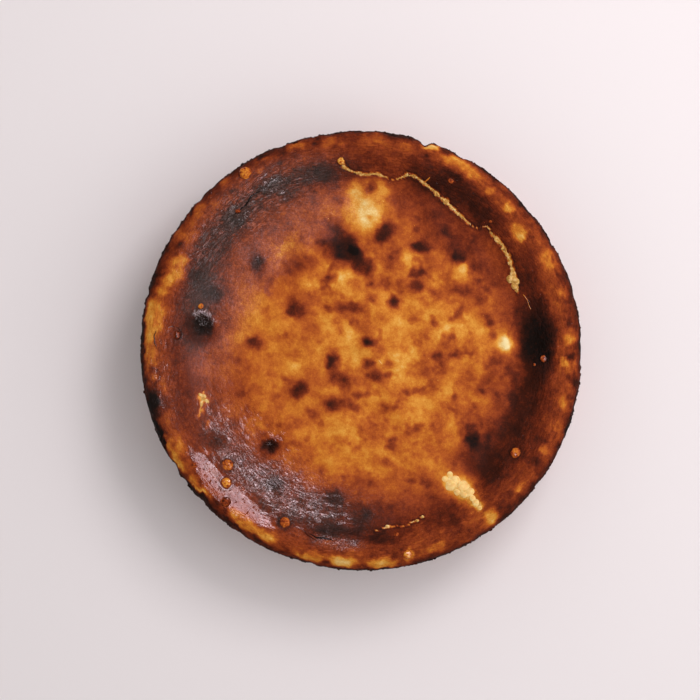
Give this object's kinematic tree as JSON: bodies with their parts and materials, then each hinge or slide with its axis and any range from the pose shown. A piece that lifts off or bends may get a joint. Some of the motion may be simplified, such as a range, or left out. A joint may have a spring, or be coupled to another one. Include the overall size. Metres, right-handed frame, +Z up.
{
  "type": "cheesecake",
  "caption": "Whole round baked cheesecake with a scorched, mottled top, a raised cracked rim round a sunken middle, browned upright sides and a flat underside.",
  "frame": {"origin": "middle of the flat underside, on the surface that the cake stands on", "axes": "+Z up out of the baked top, +X to the right and +Y to the top of the picture, which looks straight down"},
  "size_m": [0.2239, 0.2237, 0.0544],
  "materials": {
    "scorched_crust": "caramelised milk skin, golden to near-black, with a soft greasy shine"
  },
  "bodies": {
    "root": {"cheesecake": "scorched_crust"}
  },
  "joints": []
}
